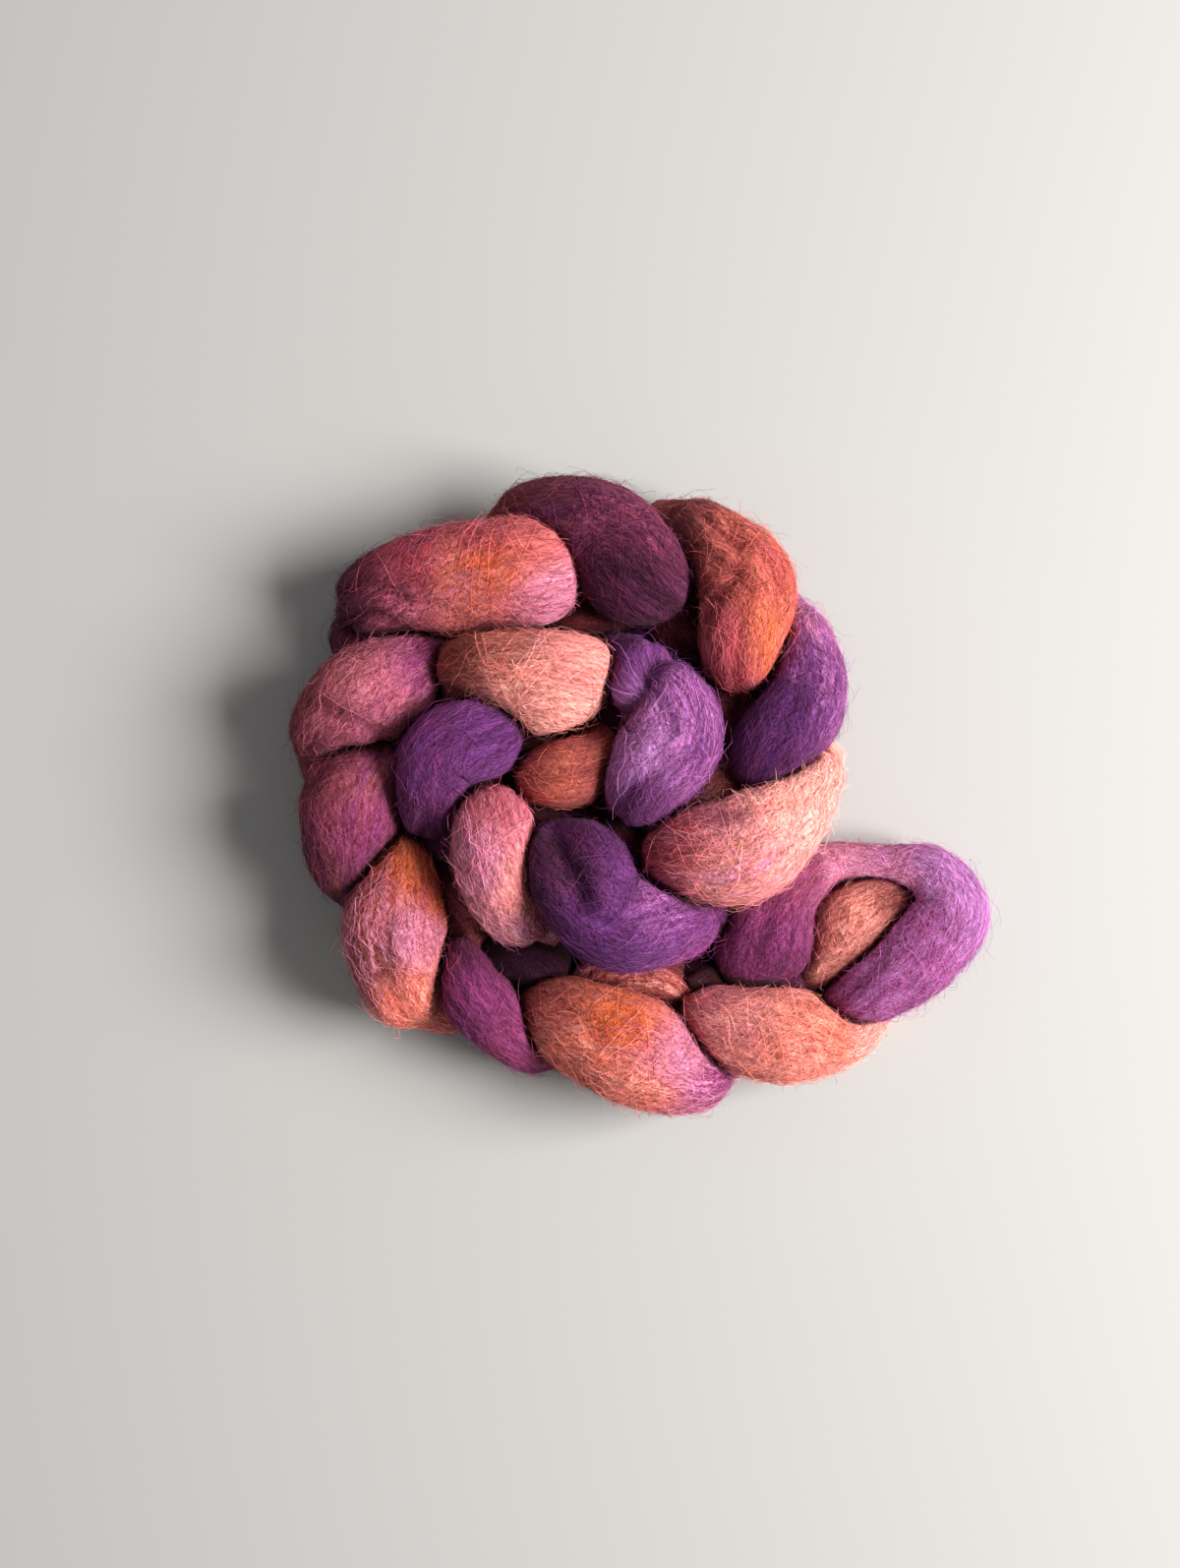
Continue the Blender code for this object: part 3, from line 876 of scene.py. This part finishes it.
# %% Wool material
def wool_material():
    material = bpy.data.materials.new("combed_wool")
    material.use_nodes = True
    recipe = Recipe(material.node_tree)
    place = recipe.out("ShaderNodeAttribute", {"attribute_name": "comb"}, output=1)
    for bend in BENDS:
        scaled = recipe.vectors("MULTIPLY", place, (bend.along, bend.across, bend.across))
        sockets = {"Vector": scaled, "Scale": 1.0, "Detail": 1.0}
        wobble = recipe.out("ShaderNodeTexNoise", {"noise_dimensions": "3D"}, sockets, output=1)
        wobble = recipe.vectors("SUBTRACT", wobble, (0.5, 0.5, 0.5))
        sideways = (0, 2 * bend.reach, 2 * bend.reach)
        place = recipe.vectors("ADD", place, recipe.vectors("MULTIPLY", wobble, sideways))
    locks, strands, fibres = (streaks(recipe, place, *streak) for streak in (LOCK, STRAND, FIBRE))
    combed, leaning, crossing = (hairs(recipe, place, *hair) for hair in HAIRS)
    lines = combed + leaning + crossing
    dye_colour = recipe.out("ShaderNodeAttribute", {"attribute_name": "dye"})
    fleck_colour = recipe.out("ShaderNodeAttribute", {"attribute_name": "fleck"})
    mingled = locks * MINGLING.locks + strands * MINGLING.strands + fibres * MINGLING.fibres
    mingled = mingled.eased(*MINGLED)
    colour = recipe.colours(mingled, dye_colour, fleck_colour)
    depth = recipe.number("ShaderNodeAttribute", {"attribute_name": "sky"}, output=2)
    # Painted shade: the tone is cut down where the surface sees little sky, which darkens creases and gaps.
    shown = TONE_LEFT_IN_PAINTED_SHADE + (1 - TONE_LEFT_IN_PAINTED_SHADE) * depth.eased(*PAINTED_SHADE_SKY_RANGE)
    fibre_tone = TONES.fibres * fibres.eased(*FIBRE_EDGE)
    tone = (BASE_TONE + TONES.strands * strands + fibre_tone + TONES.lines * lines) * shown
    shade = recipe.out("ShaderNodeCombineColor", None, {0: tone**WARM_STREAKS_AND_PAINTED_SHADE, 1: tone, 2: tone})
    colour = recipe.colours(1.0, colour, shade, "MULTIPLY")
    raised = locks * RELIEF.locks + strands * RELIEF.strands + lines * RELIEF.lines
    relief_m = (raised + fibres * RELIEF.fibres) * MM
    bump = recipe.out("ShaderNodeBump", None, {"Strength": 1.0, "Distance": 1.0, "Height": relief_m})
    surface = recipe.out(
        "ShaderNodeBsdfPrincipled",
        None,
        {
            "Base Color": colour,
            "Roughness": 0.85,
            "Specular IOR Level": 0.10,
            "Sheen Weight": 0.12,
            "Sheen Roughness": 0.5,
            "Sheen Tint": (0.9, 0.45, 0.6, 1.0),
            "Normal": bump,
        },
    )
    recipe.node("ShaderNodeOutputMaterial", None, {"Surface": surface})
    return material


roving.data.materials.append(wool_material())
print(len(roving.data.materials[0].node_tree.nodes), "nodes make the wool")

# %% [markdown]
# ## Table and light
# The braid lies on a plain pale surface. The light is that of a wide window straight to the right, about
# forty degrees up: one large soft lamp, with a pale sky all round that keeps the shadows open.

# %% Table
TABLE_REACH = 3.0
TABLE_COLOUR = (0.45, 0.434, 0.414, 1.0)

table_mesh = bpy.data.meshes.new("table")
table_corners = [(TABLE_REACH * x, TABLE_REACH * y, 0) for x, y in ((-1, -1), (1, -1), (1, 1), (-1, 1))]
table_mesh.from_pydata(table_corners, [], [(0, 1, 2, 3)])
table = bpy.data.objects.new("table", table_mesh)
bpy.context.scene.collection.objects.link(table)
table_material = bpy.data.materials.new("pale_table")
table_material.use_nodes = True
table_shader = table_material.node_tree.nodes["Principled BSDF"]
table_shader.inputs["Base Color"].default_value = TABLE_COLOUR
table_shader.inputs["Roughness"].default_value = 0.9
table_mesh.materials.append(table_material)
print("the table is", 2 * TABLE_REACH, "m wide")

# %% Light
WINDOW_AT = (1.20, 0.0, 1.05)
WINDOW_SIZE = 0.88
WINDOW_POWER = 57.0
SKY_COLOUR = (0.94, 0.97, 1.0, 1.0)
SKY_STRENGTH = 0.27

window = bpy.data.lights.new("window", "AREA")
window.size = WINDOW_SIZE
window.energy = WINDOW_POWER
window_object = bpy.data.objects.new("window", window)
window_object.location = WINDOW_AT
window_object.rotation_euler = (-Vector(WINDOW_AT)).to_track_quat("-Z", "Y").to_euler()
bpy.context.scene.collection.objects.link(window_object)

world = bpy.data.worlds.new("sky")
world.use_nodes = True
world.node_tree.nodes["Background"].inputs["Color"].default_value = SKY_COLOUR
world.node_tree.nodes["Background"].inputs["Strength"].default_value = SKY_STRENGTH
bpy.context.scene.world = world
bpy.context.scene.view_settings.view_transform = "Standard"
print("the window is", round(math.degrees(math.atan2(WINDOW_AT[2], WINDOW_AT[0]))), "degrees up")

# %% [markdown]
# ## Real fibres
# Up close a braid of top is all fibres: most lie combed along the strand, some wander across it, and a
# few stand off it as a halo. Modelling each by hand is out of the question, but they repeat and follow a
# surface, which is what Geometry Nodes are for. Roots are scattered where the surface can be seen. Each
# root gets a short line, and every point of that line finds its place through the strand's UV map: a step
# in U goes along the strand and a step in V goes round it, so a fibre bends over the wool by itself.

# %% Inputs of the fibre tree
SIZES = ("Density", "Length", "Width", "Slant", "Lift", "Stand", "Curl", "Crimp", "Anchor")
OTHER_INPUTS = {"Seed": "NodeSocketInt", "Points": "NodeSocketInt", "Wool": "NodeSocketMaterial"}


def tree_with_inputs():
    tree = bpy.data.node_groups.new("fibres", "GeometryNodeTree")
    tree.interface.new_socket("Geometry", in_out="INPUT", socket_type="NodeSocketGeometry")
    for name in SIZES:
        tree.interface.new_socket(name, in_out="INPUT", socket_type="NodeSocketFloat")
    for name, kind in OTHER_INPUTS.items():
        tree.interface.new_socket(name, in_out="INPUT", socket_type=kind)
    tree.interface.new_socket("Geometry", in_out="OUTPUT", socket_type="NodeSocketGeometry")
    return tree


class FibreRecipe(Recipe):
    """A recipe that also reads and stores attributes of the geometry it is given."""

    def __init__(self, tree):
        super().__init__(tree)
        self.given = self.node("NodeGroupInput").outputs
        self.size = {name: Number(self, self.given[name]) for name in SIZES}

    def attribute(self, name, data_type="FLOAT_VECTOR"):
        return self.out("GeometryNodeInputNamedAttribute", {"data_type": data_type}, {"Name": name})

    def store(self, geometry, name, value, data_type="FLOAT_VECTOR"):
        settings = {"data_type": data_type, "domain": "POINT"}
        sockets = {"Geometry": geometry, "Name": name, "Value": value}
        return self.out("GeometryNodeStoreNamedAttribute", settings, sockets)

    def drawn(self, step):
        """Three numbers from 0 to 1, drawn once for each root."""
        seed = self.out("ShaderNodeMath", {"operation": "ADD"}, {0: self.given["Seed"], 1: float(step)})
        return self.out("FunctionNodeRandomValue", {"data_type": "FLOAT_VECTOR"}, {"Seed": seed})

    def on_surface(self, value, uv):
        """A value of the strand's surface, read at a place on its UV map."""
        strand_uv = self.attribute("strand_uv")
        sockets = {"Mesh": self.given["Geometry"], "Value": value, "UV Map": strand_uv, "Sample UV": uv}
        return self.out("GeometryNodeSampleUVSurface", {"data_type": "FLOAT_VECTOR"}, sockets)


# %% A line at every root
Draws = namedtuple("Draws", "along root_u root_v side long lean rise phase thick")


def rooted_lines(recipe):
    """A short line at each root. It keeps the root's place on the map and its random draws."""
    given = recipe.given
    density = recipe.size["Density"] * Number(recipe, recipe.attribute("sky", "FLOAT"))
    sockets = {"Mesh": given["Geometry"], "Density": density, "Seed": given["Seed"]}
    roots = recipe.out("GeometryNodeDistributePointsOnFaces", {"distribute_method": "RANDOM"}, sockets)
    roots = recipe.store(roots, "root", recipe.attribute("strand_uv"))
    roots = recipe.store(roots, "draw_a", recipe.drawn(11))
    roots = recipe.store(roots, "draw_b", recipe.drawn(12))
    line = recipe.out("GeometryNodeCurvePrimitiveLine")
    line = recipe.out("GeometryNodeResampleCurve", None, {"Curve": line, "Count": given["Points"]})
    fibres = recipe.out("GeometryNodeInstanceOnPoints", None, {"Points": roots, "Instance": line})
    return recipe.out("GeometryNodeRealizeInstances", None, {"Geometry": fibres})


def draws_of(recipe):
    """How far along its fibre a point is, from 0 to 1, and what its root carries."""
    along = recipe.number("GeometryNodeSplineParameter")
    root_u, root_v, _ = recipe.parts(recipe.attribute("root"))
    first = recipe.parts(recipe.attribute("draw_a"))
    second = recipe.parts(recipe.attribute("draw_b"))
    return Draws(along, root_u, root_v, *first, *second)


# %% Where a fibre's points lie
ROUND = math.tau * MEAN_RADIUS
LOWEST = 0.3  # above the table
MAP_END = 0.0005  # how near to an end of the map a fibre may come
SHORTEST = 0.55  # of the coat's length
LENGTH_SPREAD = 0.9
SLOW_CRIMP = 1.1  # radians for each millimetre
FAST_CRIMP = 2.6
FAST_SHARE = 0.6
LEAST_ARCH = 0.2  # of the coat's lift
SUNK = 0.08  # of the coat's lift, so that both ends start in the wool
LEAST_STAND = 0.25
COIL_WAVE = 0.9
COIL_SHARE = 0.12
DRIFT_SPREAD = (900, 40, 50)  # places in the noise, far enough apart that no two fibres drift alike
DRIFT_ALONG = 2.0


def place_on_map(recipe, point, run):
    """Along the strand by its run, and round it by its slant and its crimp."""
    size = recipe.size
    facing = (point.side - 0.5).math("SIGN", point.side - 0.5)
    leaning = (2 * point.lean - 1) ** 3
    wave = (run * SLOW_CRIMP + point.phase * math.tau).sine()
    wave = wave + FAST_SHARE * (run * FAST_CRIMP + point.rise * math.tau).sine()
    across = run * leaning * size["Slant"] + wave * size["Crimp"]
    u = point.root_u + facing * run / strand_length
    u = u.math("MINIMUM", u, 1 - MAP_END)
    u = u.math("MAXIMUM", u, MAP_END)
    return recipe.vector(u, (point.root_v + across / ROUND).wrapped(), 0.0)


def drift_of(recipe, point):
    """A vector from smooth noise, which differs from fibre to fibre."""
    spread_u, spread_v, spread_phase = DRIFT_SPREAD
    start = point.root_u * spread_u + point.along * DRIFT_ALONG
    place = recipe.vector(start, point.root_v * spread_v, point.phase * spread_phase)
    sockets = {"Vector": place, "Scale": 1.0, "Detail": 1.0}
    drift = recipe.out("ShaderNodeTexNoise", {"noise_dimensions": "3D"}, sockets, output=1)
    return recipe.vectors("SUBTRACT", drift, (0.5, 0.5, 0.5))


def place_of(recipe, point):
    size = recipe.size
    run = (point.along - size["Anchor"]) * size["Length"] * (SHORTEST + LENGTH_SPREAD * point.long)
    uv = place_on_map(recipe, point, run)
    place = recipe.on_surface(recipe.out("GeometryNodeInputPosition"), uv)
    normal = recipe.on_surface(recipe.out("GeometryNodeInputNormal"), uv)
    free_end = (point.along - size["Anchor"]) / (1 - size["Anchor"])
    arch = 4 * point.along * (1 - point.along)
    lift = size["Lift"] * (arch * (LEAST_ARCH + point.rise) - SUNK)
    lift = lift + size["Stand"] * (LEAST_STAND + point.rise * point.rise) * free_end**2
    lift = lift + size["Curl"] * COIL_SHARE * free_end * (run * COIL_WAVE + point.thick * math.tau).sine()
    place = recipe.vectors("ADD", place, recipe.vectors("SCALE", normal, lift * MM))
    curl = size["Curl"] * (2 * MM) * free_end * free_end
    place = recipe.vectors("ADD", place, recipe.vectors("SCALE", drift_of(recipe, point), curl))
    x, y, z = recipe.parts(place)
    return recipe.vector(x, y, z.math("MAXIMUM", z, LOWEST * MM))


# %% Tree that grows fibres
FIBRE_SIDES = 3
DARKEST = 0.60
TONE_SPREAD = 1.9
TONE_CURVE = 1.5
FLECKED = (0.45, 0.75)
SIDE_AGAIN = 7  # a draw times this, without its whole part, serves as a fresh draw
THICK_AGAIN = 5
THINNEST = 0.6  # of the coat's width
WIDTH_SPREAD = 0.8
TAPER = 0.75  # of the width is gone at a fibre's tips


def colour_of(recipe, point):
    tone = DARKEST + TONE_SPREAD * point.thick**TONE_CURVE
    flecked = (point.side * SIDE_AGAIN).wrapped().eased(*FLECKED)
    dye_colour = recipe.attribute("dye", "FLOAT_COLOR")
    fleck_colour = recipe.attribute("fleck", "FLOAT_COLOR")
    return recipe.vectors("SCALE", recipe.colours(flecked, dye_colour, fleck_colour), tone)


def radius_of(recipe, point):
    ends = (2 * point.along - 1).math("ABSOLUTE", 2 * point.along - 1) ** 4
    thickness = THINNEST + WIDTH_SPREAD * (point.thick * THICK_AGAIN).wrapped()
    return recipe.size["Width"] * (0.5 * MM) * thickness * (1 - TAPER * ends)


def fibre_tree():
    tree = tree_with_inputs()
    recipe = FibreRecipe(tree)
    fibres = rooted_lines(recipe)
    point = draws_of(recipe)
    sockets = {"Geometry": fibres, "Position": place_of(recipe, point)}
    fibres = recipe.out("GeometryNodeSetPosition", None, sockets)
    fibres = recipe.store(fibres, "dye", colour_of(recipe, point), "FLOAT_COLOR")
    radius = radius_of(recipe, point)
    profile = recipe.out("GeometryNodeCurvePrimitiveCircle", None, {"Resolution": FIBRE_SIDES, "Radius": 1.0})
    sockets = {"Curve": fibres, "Profile Curve": profile, "Scale": radius, "Fill Caps": True}
    tubes = recipe.out("GeometryNodeCurveToMesh", None, sockets)
    tubes = recipe.out("GeometryNodeSetShadeSmooth", None, {"Geometry": tubes})
    tubes = recipe.out("GeometryNodeRealizeInstances", None, {"Geometry": tubes})
    sockets = {"Geometry": tubes, "Material": recipe.given["Wool"]}
    tubes = recipe.out("GeometryNodeSetMaterial", None, sockets)
    recipe.node("NodeGroupOutput", None, {"Geometry": tubes})
    return tree


fibre_growth = fibre_tree()
print(len(fibre_growth.nodes), "nodes grow a fibre")

# %% [markdown]
# ## Coats
# Each coat is one run of that tree with its own sizes. The combed coat lies close and nearly straight, and
# the crossing coat slants over it. The loose coat wanders and arches. The strays are the thinnest, and
# stand off as the halo. A fibre takes its colour from the dyes at its root, so its own material only has
# to read it. Sizes are in millimetres, and the anchor says how far along its fibre the root is.

# %% Coats of fibres
Coat = namedtuple("Coat", "name fibres points length width slant lift stand curl crimp anchor seed")
COATS = (
    Coat("combed_fibres", 7200, 5, 4.5, 0.12, 1.60, 0.40, 0.2, 1.2, 0.30, 0.5, 3),
    Coat("crossing_fibres", 5000, 7, 5.5, 0.12, 3.20, 0.60, 0.5, 2.6, 0.50, 0.5, 4),
    Coat("loose_fibres", 5000, 7, 6, 0.11, 4.00, 0.60, 1.6, 4.0, 0.50, 0.1, 5),
    Coat("stray_fibres", 3850, 9, 10, 0.10, 4.00, 0.40, 3.8, 8.0, 0.60, 0.0, 6),
)
WORKING_VALUES = ("root", "draw_a", "draw_b", "sky", "comb", "fleck")  # not kept on the finished fibres


def fibre_material():
    material = bpy.data.materials.new("wool_fibre")
    material.use_nodes = True
    recipe = Recipe(material.node_tree)
    colour = recipe.out("ShaderNodeAttribute", {"attribute_name": "dye"})
    sockets = {"Base Color": colour, "Roughness": 0.7, "Specular IOR Level": 0.2}
    surface = recipe.out("ShaderNodeBsdfPrincipled", None, sockets)
    recipe.node("ShaderNodeOutputMaterial", None, {"Surface": surface})
    return material


def seen_area():
    """The strand's area in square metres, each face counted by how openly it lies."""
    face_sky = np.zeros(len(roving_mesh.polygons))
    ring_faces = (len(rings.length) - 1) * AROUND
    average = (sky[:-1] + sky[1:] + np.roll(sky, -1, axis=1)[:-1] + np.roll(sky, -1, axis=1)[1:]) / 4
    face_sky[:ring_faces] = average.ravel()
    areas = np.empty(len(face_sky))
    roving_mesh.polygons.foreach_get("area", areas)
    return float(face_sky @ areas)


def grown_coat(coat, wool, area):
    grower = roving.copy()
    grower.data = roving.data.copy()
    bpy.context.scene.collection.objects.link(grower)
    modifier = grower.modifiers.new("Fibres", "NODES")
    modifier.node_group = fibre_growth
    values = {name: getattr(coat, name.lower()) for name in SIZES if name != "Density"}
    values.update(Density=coat.fibres / area, Seed=coat.seed, Points=coat.points, Wool=wool)
    for item in fibre_growth.interface.items_tree:
        if item.in_out == "INPUT" and item.name in values:
            modifier[item.identifier] = values[item.name]
    graph = bpy.context.evaluated_depsgraph_get()
    mesh = bpy.data.meshes.new_from_object(grower.evaluated_get(graph))
    mesh.name = coat.name
    for name in WORKING_VALUES:
        if name in mesh.attributes:
            mesh.attributes.remove(mesh.attributes[name])
    bpy.data.objects.remove(grower)
    piece = bpy.data.objects.new(coat.name, mesh)
    bpy.context.scene.collection.objects.link(piece)
    mesh.calc_loop_triangles()
    print(coat.name, len(mesh.loop_triangles), "triangles")
    return piece


wool_fibre = fibre_material()
open_area = seen_area()
fibre_pieces = [grown_coat(coat, wool_fibre, open_area) for coat in COATS]

# %% [markdown]
# ## Onto the frame
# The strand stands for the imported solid, and everything rides on its one body.

# %% Ride, replace and finish
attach(roving, "root")
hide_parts("roving_strand")
for piece in fibre_pieces:
    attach(piece, "root")
